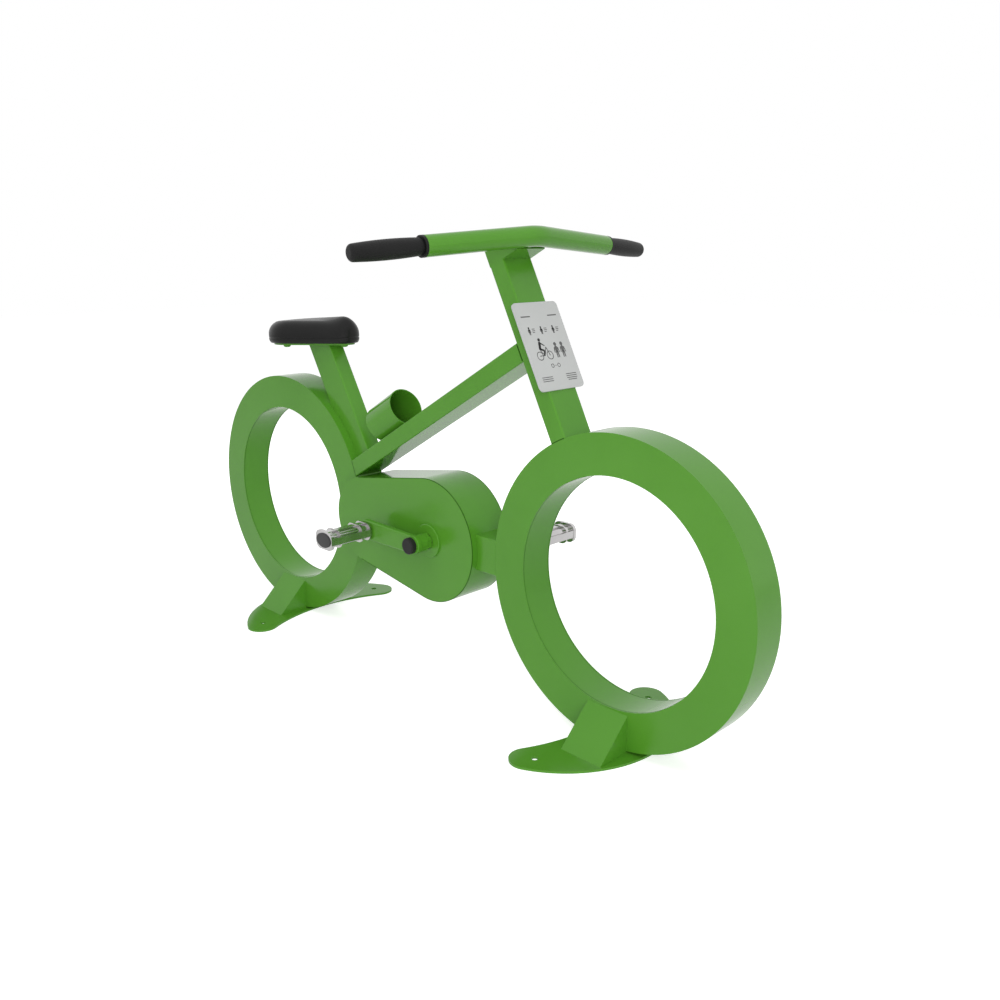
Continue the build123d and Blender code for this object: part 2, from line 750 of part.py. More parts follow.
saddle_pad.part.label = "saddle_pad"
export_step(saddle_pad.part, "parts/saddle_pad.step")

with BuildPart() as saddle_bolts:
    with BuildSketch(saddle_plane.offset(-saddle_bolt_head)):
        with Locations(*saddle_bolts_at):
            Circle(saddle_bolt_head_r)
    extrude(amount=saddle_bolt_head)
    head_rims = saddle_bolts.edges().group_by(Axis(saddle_plane.origin, saddle_plane.z_dir))[0]
    fillet(head_rims, radius=saddle_bolt_dome)
    with BuildSketch(saddle_plane):
        with Locations(*saddle_bolts_at):
            Circle(saddle_bolt_r)
    extrude(amount=saddle_plate_thickness + saddle_bolt_bite)
saddle_bolts.part.label = "saddle_bolts"
export_step(saddle_bolts.part, "parts/saddle_bolts.step")

# Crank: bearing cups with their visible flanges, bearings, axle, arms, nuts and caps
for side, plane in crank_planes.items():
    with BuildPart() as bearing_cup:
        with BuildSketch(plane.offset(case_half)):
            Circle(flange_r)
        extrude(amount=flange_thickness)
        flange_rim = bearing_cup.edges().group_by(Axis.Y)[0 if side == "right" else -1]
        chamfer(flange_rim, length=flange_chamfer)
        with BuildSketch(plane.offset(cup_end)):
            Circle(cup_r)
        extrude(amount=case_half - cup_end)
        with BuildSketch(plane.offset(cup_end)):
            Circle(crank_bearing_r + slip_gap)
        extrude(amount=crank_bearing_width, mode=Mode.SUBTRACT)
        with BuildSketch(plane.offset(cup_end)):
            Circle(cup_lip_r)
        extrude(amount=flange_face - cup_end, mode=Mode.SUBTRACT)
    bearing_cup.part.label = f"{side}_bearing_cup"
    export_step(bearing_cup.part, f"parts/{side}_bearing_cup.step")

with BuildPart() as crank_bearings:
    for side, plane in crank_planes.items():
        with BuildSketch(plane.offset(cup_end)):
            Circle(crank_bearing_r)
            Circle(journal_r + run_gap, mode=Mode.SUBTRACT)
        extrude(amount=crank_bearing_width)
crank_bearings.part.label = "crank_bearings"
export_step(crank_bearings.part, "parts/crank_bearings.step")

with BuildPart() as crank_axle:
    with BuildSketch(crank_planes["right"]):
        Circle(collar_r)
    extrude(amount=collar_half, both=True)
    with BuildSketch(crank_planes["right"]):
        Circle(journal_r)
    extrude(amount=hub_face, both=True)
    with BuildSketch(crank_planes["right"]):
        Circle(spigot_r)
    extrude(amount=spigot_end, both=True)
crank_axle.part.label = "crank_axle"
export_step(crank_axle.part, "parts/crank_axle.step")

with BuildPart() as crank_nuts:
    for side, plane in crank_planes.items():
        with BuildSketch(plane.offset(nut_face)):
            RegularPolygon(nut_flats / 2, 6, major_radius=False, rotation=30)
            Circle(journal_r + slip_gap, mode=Mode.SUBTRACT)
        extrude(amount=nut_height)
crank_nuts.part.label = "crank_nuts"
export_step(crank_nuts.part, "parts/crank_nuts.step")

for side, plane in crank_planes.items():
    with BuildPart() as crank_arm:
        with BuildSketch(plane.offset(arm_face)):
            Circle(arm_height / 2)
            with Locations((crank_length, 0)):
                Circle(arm_end_r)
            make_hull()
        extrude(amount=arm_thickness)
        fillet(crank_arm.edges().filter_by(Axis.Y, reverse=True), radius=arm_edge_r)
        with BuildSketch(plane.offset(hub_face)):
            Circle(hub_r)
        extrude(amount=hub_length)
        with BuildSketch(plane.offset(hub_face)):
            Circle(spigot_r + slip_gap)
            with Locations((crank_length, 0)):
                Circle(spindle_r + slip_gap)
        extrude(amount=hub_length, mode=Mode.SUBTRACT)
    crank_arm.part.label = f"{side}_crank_arm"
    export_step(crank_arm.part, f"parts/{side}_crank_arm.step")

    with BuildPart() as crank_cap:
        with BuildSketch(plane.offset(hub_end)):
            Circle(cap_r)
        extrude(amount=cap_height)
        cap_rim = crank_cap.edges().group_by(Axis.Y)[0 if side == "right" else -1]
        fillet(cap_rim, radius=cap_edge_r)
        with BuildSketch(plane.offset(hub_end - cap_plug)):
            Circle(spigot_r)
        extrude(amount=cap_plug)
    crank_cap.part.label = f"{side}_crank_cap"
    export_step(crank_cap.part, f"parts/{side}_crank_cap.step")

# Belt drive: large pulley on the crank axle, small one on the flywheel's hub
with BuildPart() as crank_pulley:
    with BuildSketch(Plane.XZ.offset(pulley_in)):
        with Locations((crank_x, axis_z)):
            Circle(crank_pulley_r)
            Circle(crank_pulley_r - pulley_rim, mode=Mode.SUBTRACT)
            Circle(pulley_hub_r)
            Circle(collar_r + slip_gap, mode=Mode.SUBTRACT)
    extrude(amount=belt_width)
    with BuildSketch(Plane.XZ.offset(pulley_in + (belt_width - crank_pulley_web) / 2)):
        with Locations((crank_x, axis_z)):
            Circle(crank_pulley_r - pulley_rim / 2)
            Circle((pulley_hub_r + collar_r) / 2, mode=Mode.SUBTRACT)
            with PolarLocations((crank_pulley_r - pulley_rim + pulley_hub_r) / 2, pulley_holes):
                Circle(pulley_hole_r, mode=Mode.SUBTRACT)
    extrude(amount=crank_pulley_web)
crank_pulley.part.label = "crank_pulley"
export_step(crank_pulley.part, "parts/crank_pulley.step")

with BuildPart() as drive_belt:
    with BuildSketch(Plane.XZ.offset(pulley_in)):
        belt_outline(belt_gap + belt_thickness)
        offset(amount=-belt_thickness, mode=Mode.SUBTRACT)
    extrude(amount=belt_width)
drive_belt.part.label = "drive_belt"
export_step(drive_belt.part, "parts/drive_belt.step")

with BuildPart() as flywheel_pulley:
    with BuildSketch(Plane.XZ.offset(pulley_in)):
        with Locations((fly_x, axis_z)):
            Circle(fly_pulley_r)
            Circle(fly_hub_r + slip_gap, mode=Mode.SUBTRACT)
    extrude(amount=belt_width)
flywheel_pulley.part.label = "flywheel_pulley"
export_step(flywheel_pulley.part, "parts/flywheel_pulley.step")

with BuildPart() as flywheel:
    with BuildSketch(Plane.XZ.offset(-flywheel_out)):
        with Locations((fly_x, axis_z)):
            Circle(flywheel_r)
            Circle(flywheel_r - flywheel_rim, mode=Mode.SUBTRACT)
    extrude(amount=flywheel_thickness)
    with BuildSketch(Plane.XZ.offset(-flywheel_out + (flywheel_thickness - flywheel_web) / 2)):
        with Locations((fly_x, axis_z)):
            Circle(flywheel_r - flywheel_rim / 2)
    extrude(amount=flywheel_web)
    with BuildSketch(fly_planes["right"]):
        Circle(fly_hub_r)
    extrude(amount=fly_hub_half, both=True)
    with BuildSketch(fly_planes["right"]):
        Circle(fly_bore_r)
    extrude(amount=fly_hub_half, both=True, mode=Mode.SUBTRACT)
    for side, plane in fly_planes.items():
        with BuildSketch(plane.offset(fly_hub_half - fly_bearing_width)):
            Circle(fly_bearing_r + run_gap)
        extrude(amount=fly_bearing_width, mode=Mode.SUBTRACT)
flywheel.part.label = "flywheel"
export_step(flywheel.part, "parts/flywheel.step")

with BuildPart() as flywheel_bearings:
    for side, plane in fly_planes.items():
        with BuildSketch(plane.offset(fly_hub_half - fly_bearing_width + axial_gap)):
            Circle(fly_bearing_r)
            Circle(fly_axle_r + slip_gap, mode=Mode.SUBTRACT)
        extrude(amount=fly_bearing_width - axial_gap)
flywheel_bearings.part.label = "flywheel_bearings"
export_step(flywheel_bearings.part, "parts/flywheel_bearings.step")

with BuildPart() as flywheel_axle:
    with BuildSketch(fly_planes["right"]):
        Circle(fly_axle_r)
    extrude(amount=fly_axle_half, both=True)
flywheel_axle.part.label = "flywheel_axle"
export_step(flywheel_axle.part, "parts/flywheel_axle.step")

with BuildPart() as axle_bosses:
    for side, plane in fly_planes.items():
        with BuildSketch(plane.offset(boss_end)):
            Circle(boss_r)
            Circle(fly_axle_r + slip_gap, mode=Mode.SUBTRACT)
        extrude(amount=boss_depth)
axle_bosses.part.label = "axle_bosses"
export_step(axle_bosses.part, "parts/axle_bosses.step")

# Pedals: fixed spindles with lock nuts, and bodies that turn on two bushes
with BuildPart() as pedal_lock_nuts:
    for side, plane in crank_planes.items():
        with BuildSketch(plane.offset(pedal_nut_in)):
            with Locations((crank_length, 0)):
                RegularPolygon(pedal_nut_flats / 2, 6, major_radius=False)
                Circle(spindle_r + slip_gap, mode=Mode.SUBTRACT)
        extrude(amount=pedal_nut_height)
pedal_lock_nuts.part.label = "pedal_lock_nuts"
export_step(pedal_lock_nuts.part, "parts/pedal_lock_nuts.step")

web_starts = (
    pedal_in,
    pedal_in + pedal_web + pedal_end_pocket,
    pedal_out - pedal_flange - pedal_end_pocket - pedal_web,
)
for side, plane in crank_planes.items():
    with BuildPart() as pedal_spindle:
        with BuildSketch(plane.offset(arm_face)):
            with Locations((crank_length, 0)):
                Circle(spindle_r)
        extrude(amount=pedal_nut_out - arm_face)
        with BuildSketch(plane.offset(arm_out)):
            with Locations((crank_length, 0)):
                Circle(spindle_collar_r)
        extrude(amount=pedal_stand - axial_gap)
    pedal_spindle.part.label = f"{side}_pedal_spindle"
    export_step(pedal_spindle.part, f"parts/{side}_pedal_spindle.step")

    # Body: oblong core, tread bars front and rear, ribs above and below, webs across the corners
    with BuildPart() as pedal_body:
        with BuildSketch(plane.offset(pedal_in)):
            with Locations((crank_length, 0)):
                RectangleRounded(pedal_core_wide, pedal_core_high, pedal_core_corner_r)
                Rectangle(pedal_bar_wide, pedal_bar_high)
                Rectangle(pedal_rib_wide, pedal_rib_high)
        extrude(amount=pedal_length)
        for web_start in web_starts:
            with BuildSketch(plane.offset(web_start)):
                with Locations((crank_length, 0)):
                    RectangleRounded(pedal_web_wide, pedal_web_high, pedal_corner_r)
            extrude(amount=pedal_web)
        with BuildSketch(plane.offset(pedal_out - pedal_flange)):
            with Locations((crank_length, 0)):
                RectangleRounded(pedal_flange_wide, pedal_flange_high, pedal_corner_r)
        extrude(amount=pedal_flange)
        with BuildSketch(plane.offset(pedal_in)):
            with Locations((crank_length, 0)):
                Circle(pedal_bore_r)
        extrude(amount=pedal_length, mode=Mode.SUBTRACT)
    pedal_body.part.label = f"{side}_pedal_body"
    export_step(pedal_body.part, f"parts/{side}_pedal_body.step")

    with BuildPart() as pedal_bushes:
        for bush_start in (pedal_in, bush_out - bush_length):
            with BuildSketch(plane.offset(bush_start)):
                with Locations((crank_length, 0)):
                    Circle(pedal_bore_r - slip_gap)
                    Circle(spindle_r + run_gap, mode=Mode.SUBTRACT)
            extrude(amount=bush_length)
    pedal_bushes.part.label = f"{side}_pedal_bushes"
    export_step(pedal_bushes.part, f"parts/{side}_pedal_bushes.step")

    with BuildPart() as pedal_cap:
        with BuildSketch(plane.offset(pedal_out)):
            with Locations((crank_length, 0)):
                Ellipse(pedal_cap_wide / 2, pedal_cap_high / 2)
        extrude(amount=pedal_cap_height)
        cap_rim = pedal_cap.edges().group_by(Axis.Y)[0 if side == "right" else -1]
        fillet(cap_rim, radius=pedal_cap_edge_r)
        with BuildSketch(plane.offset(pedal_cap_face)):
            with Locations((crank_length, 0)):
                Circle(pedal_bore_r - slip_gap)
        extrude(amount=pedal_cap_plug)
    pedal_cap.part.label = f"{side}_pedal_cap"
    export_step(pedal_cap.part, f"parts/{side}_pedal_cap.step")

top_rise = degrees(atan2(top_dir.Z, top_dir.X))
print(f"top tube rises {top_rise:.2f} degrees, saddle middle at x {saddle_x:.1f}")
print(f"crank axis at x {crank_x:.1f}, z {axis_z:.1f}, flywheel axis at x {fly_x:.1f}")
print(f"drive ratio {crank_pulley_r / fly_pulley_r:.4f}")
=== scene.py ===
"""Looks of the outdoor fitness station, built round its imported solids.

Metres, in the row frame: +X forward, +Y the rider's left, +Z up.
"""

import json
import math

import bmesh
import bpy
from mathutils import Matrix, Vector


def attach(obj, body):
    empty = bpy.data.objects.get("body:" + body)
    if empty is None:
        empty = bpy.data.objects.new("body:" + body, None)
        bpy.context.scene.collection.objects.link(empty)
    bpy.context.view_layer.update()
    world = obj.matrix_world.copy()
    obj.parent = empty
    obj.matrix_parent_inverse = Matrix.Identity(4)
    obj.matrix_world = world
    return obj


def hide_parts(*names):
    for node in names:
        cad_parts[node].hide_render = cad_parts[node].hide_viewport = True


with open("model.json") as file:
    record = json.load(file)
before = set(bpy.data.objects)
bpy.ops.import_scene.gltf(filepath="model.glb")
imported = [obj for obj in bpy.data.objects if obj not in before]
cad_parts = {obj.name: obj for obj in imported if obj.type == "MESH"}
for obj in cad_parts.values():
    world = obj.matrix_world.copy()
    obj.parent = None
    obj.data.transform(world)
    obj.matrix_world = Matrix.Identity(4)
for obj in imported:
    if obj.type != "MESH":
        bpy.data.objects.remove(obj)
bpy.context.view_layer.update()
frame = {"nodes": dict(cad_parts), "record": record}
nodes = frame["nodes"]
slot_of = {row["node"]: row["material_slot"] for row in frame["record"]["subparts"]}

MM = 0.001
LEFT = Vector((0.0, 1.0, 0.0))
SIDES = (("right", -1), ("left", 1))


def polar(angle):
    """Unit vector in the plane of the rings, at an angle from +X towards +Z."""
    return Vector((math.cos(angle), 0.0, math.sin(angle)))


# Places and sizes of the solids that the added pieces follow

AXIS_Z = 319.0 * MM
FRONT_CENTRE = Vector((550.0 * MM, 0.0, AXIS_Z))
REAR_CENTRE = Vector((-550.0 * MM, 0.0, AXIS_Z))
RING_OUTER_R = 315.0 * MM
RING_INNER_R = 233.0 * MM
RING_HALF = 40.0 * MM
RING_SHEET = 3.0 * MM
CRANK_X = 36.6 * MM
CASE_CENTRES = 239.0 * MM
CASE_FRONT = Vector((CRANK_X, 0.0, AXIS_Z))
CASE_REAR = Vector((CRANK_X - CASE_CENTRES, 0.0, AXIS_Z))
CASE_FRONT_R = 143.4 * MM
CASE_REAR_R = 105.0 * MM
CASE_HALF = 55.0 * MM
CASE_SHEET = 3.0 * MM
COLUMN_LEAN = math.radians(26.8)
COLUMN_DIR = Vector((-math.sin(COLUMN_LEAN), 0.0, math.cos(COLUMN_LEAN)))
COLUMN_AHEAD = polar(COLUMN_LEAN)
TUBE_HALF = 20.0 * MM
TUBE_FLAT = 17.6 * MM  # half of a tube's side between its rounded corners
TOP_JOINT = 193.0 * MM  # top tube's axis on the column, above the ring
TOP_FOOT_TURN = math.radians(21.8)  # top tube's axis on the rear ring
WELD_GAP = 0.2 * MM
LUG_R = 6.0 * MM
LUG_SWING = math.radians(75.0)
SCREW_HEAD = 3.0 * MM
SIGN_RISE = 186.0 * MM  # sign's middle on the column, above the ring
SIGN_THICKNESS = 3.5 * MM
SADDLE_ORIGIN = Vector((-411.7 * MM, 0.0, 727.0 * MM))
SADDLE_TILT = math.radians(1.7)
SADDLE_WEDGE = math.radians(3.0)
SADDLE_PLATE = 4.0 * MM


# Node helpers

NOISE_RANGE = (0.3, 0.7)
TONE_STOPS = (0.32, 0.68)


def new_material(name):
    """Material with its node tree and its shader."""
    material = bpy.data.materials.new(name)
    material.use_nodes = True
    tree = material.node_tree
    return material, tree, tree.nodes["Principled BSDF"]


def noise(tree, scale, detail, roughness=0.5, stretch=None):
    """Noise in the object's own coordinates, stretched along the axes if asked."""
    place = tree.nodes.new("ShaderNodeTexCoord").outputs["Object"]
    if stretch is not None:
        mapping = tree.nodes.new("ShaderNodeMapping")
        mapping.inputs["Scale"].default_value = stretch
        tree.links.new(place, mapping.inputs["Vector"])
        place = mapping.outputs["Vector"]
    texture = tree.nodes.new("ShaderNodeTexNoise")
    texture.inputs["Scale"].default_value = scale
    texture.inputs["Detail"].default_value = detail
    texture.inputs["Roughness"].default_value = roughness
    tree.links.new(place, texture.inputs["Vector"])
    return texture.outputs["Fac"]


def map_range(tree, source, span, target):
    """Source mapped from a span to a target range, and held at its ends."""
    node = tree.nodes.new("ShaderNodeMapRange")
    for socket, value in zip(("From Min", "From Max", "To Min", "To Max"), (*span, *target)):
        node.inputs[socket].default_value = value
    tree.links.new(source, node.inputs["Value"])
    return node.outputs["Result"]


def tone(tree, source, colours):
    """Colour that drifts between two tones."""
    node = tree.nodes.new("ShaderNodeValToRGB")
    for stop, position, colour in zip(node.color_ramp.elements, TONE_STOPS, colours):
        stop.position = position
        stop.color = (*colour, 1.0)
    tree.links.new(source, node.inputs["Fac"])
    return node.outputs["Color"]


def bump(tree, source, depth, strength):
    """Surface direction roughened by a height."""
    node = tree.nodes.new("ShaderNodeBump")
    node.inputs["Distance"].default_value = depth
    node.inputs["Strength"].default_value = strength
    tree.links.new(source, node.inputs["Height"])
    return node.outputs["Normal"]


def calculate(tree, operation, *values):
    """Result of a math node that is fed by sockets or by plain numbers."""
    node = tree.nodes.new("ShaderNodeMath")
    node.operation = operation
    for socket, value in zip(node.inputs, values):
        if isinstance(value, bpy.types.NodeSocket):
            tree.links.new(value, socket)
        else:
            socket.default_value = value
    return node.outputs["Value"]


def dress(tree, shader, colour, roughness, normal):
    """Links what varies over a surface to its shader."""
    tree.links.new(colour, shader.inputs["Base Color"])
    tree.links.new(roughness, shader.inputs["Roughness"])
    tree.links.new(normal, shader.inputs["Normal"])


# Kinds of material: scales of noise are per metre. Over GLANCE_SPAN of Layer Weight's Facing,
# the roughness of paint falls from its full value to GLANCE_SHARE of it.

PAINT_SPECULAR = 0.34
PAINT_DRIFT = 5.0
PAINT_PATCHES = 30.0
PEEL_SCALE = 320.0
PEEL_DEPTH = 0.02 * MM
PEEL_STRENGTH = 0.15
GLANCE_BLEND = 0.5
GLANCE_SPAN = (0.42, 0.78)
GLANCE_SHARE = 0.4
MOULDED_SPECULAR = 0.25
# Low gloss that keeps the lines of painted shade dark
PAINTED_SHADE_SPECULAR = 0.04
MOULDED_DRIFT = 14.0
GRAIN_STRENGTH = 0.5
METAL_DRIFT = 20.0
MARK_SCALE = 60.0
MARK_DEPTH = 0.05 * MM
MARK_STRENGTH = 0.25
EVEN = (1.0, 1.0, 1.0)
ROUND_Y = (1.0, 18.0, 1.0)


def paint(name, colours, roughness):
    """Powder coat: soft tone drift, faint orange peel, and a gloss that sharpens at a glance."""
    material, tree, shader = new_material(name)
    shader.inputs["Specular IOR Level"].default_value = PAINT_SPECULAR
    view = tree.nodes.new("ShaderNodeLayerWeight")
    view.inputs["Blend"].default_value = GLANCE_BLEND
    sharpen = map_range(tree, view.outputs["Facing"], GLANCE_SPAN, (1.0, GLANCE_SHARE))
    drift = noise(tree, PAINT_DRIFT, detail=4.0)
    patches = noise(tree, PAINT_PATCHES, detail=3.0)
    peel = noise(tree, PEEL_SCALE, detail=2.0)
    satin = map_range(tree, patches, NOISE_RANGE, roughness)
    dress(
        tree, shader, tone(tree, drift, colours), calculate(tree, "MULTIPLY", satin, sharpen),
        bump(tree, peel, PEEL_DEPTH, PEEL_STRENGTH),
    )
    return material


def moulded(name, colours, roughness, grain, depth, specular=MOULDED_SPECULAR):
    """Rubber, foam skin, plastic, ink or dark lines of painted shade, with a fine grain."""
    material, tree, shader = new_material(name)
    shader.inputs["Specular IOR Level"].default_value = specular
    drift = noise(tree, MOULDED_DRIFT, detail=4.0)
    skin = noise(tree, grain, detail=4.0, roughness=0.6)
    dress(
        tree, shader, tone(tree, drift, colours), map_range(tree, skin, NOISE_RANGE, roughness),
        bump(tree, skin, depth, GRAIN_STRENGTH),
    )
    return material


def metal(name, colours, roughness, stretch, scale=MARK_SCALE):
    """Bare metal with turning or grinding marks drawn out along the stretch."""
    material, tree, shader = new_material(name)
    shader.inputs["Metallic"].default_value = 1.0
    drift = noise(tree, METAL_DRIFT, detail=3.0)
    marks = noise(tree, scale, detail=4.0, roughness=0.6, stretch=stretch)
    dress(
        tree, shader, tone(tree, drift, colours), map_range(tree, marks, NOISE_RANGE, roughness),
        bump(tree, marks, MARK_DEPTH, MARK_STRENGTH),
    )
    return material


def greys(dark, light):
    """Two neutral tones."""
    return (dark, dark, dark), (light, light, light)


# Materials of the slots: two tones, the range of roughness, and the grain or the marks

GREENS = ((0.089, 0.304, 0.021), (0.101, 0.328, 0.027))
# Dark green of the painted shade lines in the gaps at the case edges and inside the rings
SEAM_SHADE_GREENS = ((0.036, 0.138, 0.009), (0.046, 0.162, 0.012))
# Darker green of the painted shade lines in the gaps at flush tube joints
JOINT_SHADE_GREENS = ((0.018, 0.080, 0.004), (0.026, 0.100, 0.007))
SIGN_WHITES = ((0.59, 0.60, 0.595), (0.63, 0.64, 0.635))
ALLOYS = ((0.52, 0.51, 0.51), (0.62, 0.61, 0.61))
BRIGHT_STEELS = ((0.50, 0.50, 0.51), (0.60, 0.60, 0.60))
MILL_STEELS = ((0.32, 0.32, 0.33), (0.42, 0.42, 0.42))
IRONS = ((0.16, 0.16, 0.165), (0.22, 0.22, 0.22))
TURNED_ALLOYS = ((0.55, 0.55, 0.56), (0.63, 0.63, 0.63))
BRONZES = ((0.42, 0.25, 0.09), (0.52, 0.33, 0.13))
# Near-black greys painted as the shade inside the screw sockets
SOCKET_SHADE_GREYS = ((0.020, 0.020, 0.021), (0.034, 0.034, 0.034))
BLACKS = greys(0.012, 0.020)
RUBBERS = greys(0.005, 0.009)
FOAMS = greys(0.005, 0.008)
BELT_BLACKS = greys(0.010, 0.018)
CAP_GREYS = greys(0.052, 0.066)

MATERIALS = {
    "green_paint": paint("green_powder_coat", GREENS, (0.20, 0.25)),
    "grip_rubber": moulded("grip_rubber", RUBBERS, (0.44, 0.56), 900.0, 0.2 * MM),
    "saddle_foam": moulded("saddle_skin", FOAMS, (0.26, 0.36), 700.0, 0.1 * MM),
    "sign_sheet": paint("sign_coating", SIGN_WHITES, (0.34, 0.42)),
    "black_plastic": moulded("black_plastic", BLACKS, (0.45, 0.58), 1100.0, 0.1 * MM),
    "pedal_alloy": metal("polished_alloy", ALLOYS, (0.12, 0.22), EVEN, 40.0),
    "bright_steel": metal("bright_steel", BRIGHT_STEELS, (0.22, 0.36), ROUND_Y),
    "bare_steel": metal("mill_steel", MILL_STEELS, (0.38, 0.52), EVEN),
    "iron": metal("turned_iron", IRONS, (0.40, 0.55), ROUND_Y),
    "pulley_alloy": metal("turned_alloy", TURNED_ALLOYS, (0.24, 0.38), ROUND_Y),
    "belt_rubber": moulded("belt_rubber", BELT_BLACKS, (0.55, 0.70), 500.0, 0.2 * MM),
    "bronze": metal("sintered_bronze", BRONZES, (0.35, 0.50), EVEN, 300.0),
}
# The next three give dark, low-gloss lines of painted shade for the gaps at the case edges,
# inside the rings and at flush tube joints
PAINTED_SHADE_LINE = ((0.55, 0.66), 600.0, 0.05 * MM, PAINTED_SHADE_SPECULAR)
SEAM_SHADE = moulded("seam_painted_shade", SEAM_SHADE_GREENS, *PAINTED_SHADE_LINE)
JOINT_SHADE = moulded("joint_painted_shade", JOINT_SHADE_GREENS, *PAINTED_SHADE_LINE)
INK = moulded("print_ink", greys(0.012, 0.022), (0.45, 0.55), 800.0, 0.02 * MM)
GREY_INK = moulded("print_grey", greys(0.10, 0.14), (0.45, 0.55), 800.0, 0.02 * MM)
GREY_PLASTIC = moulded("grey_plastic", CAP_GREYS, (0.45, 0.58), 1100.0, 0.1 * MM)
SOCKET_SHADE = metal("socket_shade", SOCKET_SHADE_GREYS, (0.5, 0.62), EVEN)
OWN_MATERIAL = {"right_pedal_cap": GREY_PLASTIC, "left_pedal_cap": GREY_PLASTIC}

for node_name, node in nodes.items():
    node.data.materials.clear()
    node.data.materials.append(OWN_MATERIAL.get(node_name, MATERIALS[slot_of[node_name]]))


# Mesh helpers

def add_object(name, builder, material):
    """Object of the scene with the builder's mesh."""
    mesh = bpy.data.meshes.new(name)
    builder.normal_update()
    builder.to_mesh(mesh)
    builder.free()
    mesh.materials.append(material)
    obj = bpy.data.objects.new(name, mesh)
    bpy.context.scene.collection.objects.link(obj)
    return obj


def make_piece(name, builder, material, body="frame"):
    """Visible piece with its material, that rides on a body."""
    bmesh.ops.recalc_face_normals(builder, faces=builder.faces)
    obj = add_object(name, builder, material)
    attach(obj, body)
    return obj


def shade_smooth(obj, angle=None):
    for polygon in obj.data.polygons:
        polygon.use_smooth = True
    if angle is not None:
        obj.data.set_sharp_from_angle(angle=angle)


def bridge(builder, first, second, closed=True):
    """Quads between two rows of vertices."""
    count = len(first)
    for index in range(count if closed else count - 1):
        after = (index + 1) % count
        builder.faces.new((first[index], first[after], second[after], second[index]))


def band(builder, rows, closed=True):
    """Skin round a band whose corners run along the rows, with its ends shut if it has any."""
    for index, row in enumerate(rows):
        bridge(builder, row, rows[(index + 1) % len(rows)], closed)
    if not closed:
        builder.faces.new([row[0] for row in rows])
        builder.faces.new([row[-1] for row in rows])


def stack(builder, loops):
    """Skin through loops that lie one over the other, with the first and the last filled."""
    for first, second in zip(loops, loops[1:]):
        bridge(builder, first, second)
    builder.faces.new(loops[0][::-1])
    builder.faces.new(loops[-1])


# Saddle pad: a moulded skin lofted through outlines of one pear shape

PAD_WING = Vector((-58.8 * MM, 38.7 * MM))
PAD_WING_R = 72.2 * MM
PAD_NOSE = Vector((82.2 * MM, 0.0))
PAD_NOSE_R = 37.3 * MM
PAD_HEIGHT = 58.0 * MM
PAD_FLAT_INSETS = (18.0 * MM, 9.0 * MM)
PAD_UNDER_ROLL = 19.0 * MM
PAD_CROWN_ROLL = 35.0 * MM
PAD_UNDER_TURN = 40  # whole degrees of the lower edge's roll
PAD_CROWN_TURN = 76  # and of the crown's, where it would reach the full height
PAD_LAST_TURN = 72
PAD_TURN_STEP = 8
PAD_SEAM = ((0.1, 0.8), (1.1, 1.4), (1.1, 2.0), (0.2, 2.8), (0.0, 5.0))  # inset, rise in mm
PAD_STEPS = 60
CROWN_STEPS = 7
CROWN_RISE = 2.2 * MM
SPINE_REAR = -66.0 * MM
SPINE_NOSE = 80.0 * MM
SPINE_DIGITS = 7
EDGE_FALL = 7.0 * MM
FALL_START = -65.0 * MM
FALL_END = 66.0 * MM
FALL_EASE = 0.4
FALL_SPAN = 34.0 * MM


def resample(line, count):
    """Points at even steps along a line."""
    lengths = [0.0]
    for first, second in zip(line, line[1:]):
        lengths.append(lengths[-1] + (second - first).length)
    found = []
    at = 0
    for step in range(count + 1):
        target = lengths[-1] * step / count
        while at < len(line) - 2 and lengths[at + 1] < target:
            at += 1
        room = lengths[at + 1] - lengths[at]
        share = 0.0 if room == 0 else (target - lengths[at]) / room
        found.append(line[at].lerp(line[at + 1], share))
    return found


def pad_outline(inset, count=PAD_STEPS):
    """Pear outline from the rear middle along the left side to the nose and back."""
    wing_r = PAD_WING_R - inset
    nose_r = PAD_NOSE_R - inset
    span = PAD_NOSE - PAD_WING
    leave = math.atan2(span.y, span.x) + math.acos((wing_r - nose_r) / span.length)
    line = [Vector((PAD_WING.x - wing_r, 0.0))]
    wing_steps = count // 2
    for step in range(wing_steps + 1):
        angle = math.pi + (leave - math.pi) * step / wing_steps
        line.append(PAD_WING + Vector((math.cos(angle), math.sin(angle))) * wing_r)
    nose_steps = count // 3
    for step in range(nose_steps + 1):
        angle = leave * (1 - step / nose_steps)
        line.append(PAD_NOSE + Vector((math.cos(angle), math.sin(angle))) * nose_r)
    half = resample(line, count)
    return half + [Vector((point.x, -point.y)) for point in reversed(half[1:-1])]


def pad_profile():
    """Insets and heights of the skin, from the underside round the lower edge to the crown.

    A shallow seam lies above the lower edge.
    """
    profile = [(inset, 0.0) for inset in PAD_FLAT_INSETS]
    for turn in range(-PAD_UNDER_TURN, 1, PAD_TURN_STEP):
        lift = math.sin(math.radians(turn)) + math.sin(math.radians(PAD_UNDER_TURN))
        inset = PAD_UNDER_ROLL * (1 - math.cos(math.radians(turn)))
        profile.append((inset, PAD_UNDER_ROLL * lift))
    seam_at = profile[-1][1]
    for inset, rise in PAD_SEAM:
        profile.append((inset * MM, seam_at + rise * MM))
    for turn in range(0, PAD_LAST_TURN + 1, PAD_TURN_STEP):
        drop = math.sin(math.radians(PAD_CROWN_TURN)) - math.sin(math.radians(turn))
        inset = PAD_CROWN_ROLL * (1 - math.cos(math.radians(turn)))
        profile.append((inset, PAD_HEIGHT - PAD_CROWN_ROLL * drop))
    return profile


def edge_fall(x, y):
    """How far the crown falls from its spine to the edges, growing towards the nose."""
    along = min(max((x - FALL_START) / (FALL_END - FALL_START), 0.0), 1.0)
    eased = along ** 2 / (2 * FALL_EASE) if along < FALL_EASE else along - FALL_EASE / 2
    across = min(abs(y) / FALL_SPAN, 1.0)
    return EDGE_FALL * eased / (1 - FALL_EASE / 2) * across ** 2 * (3 - 2 * across)


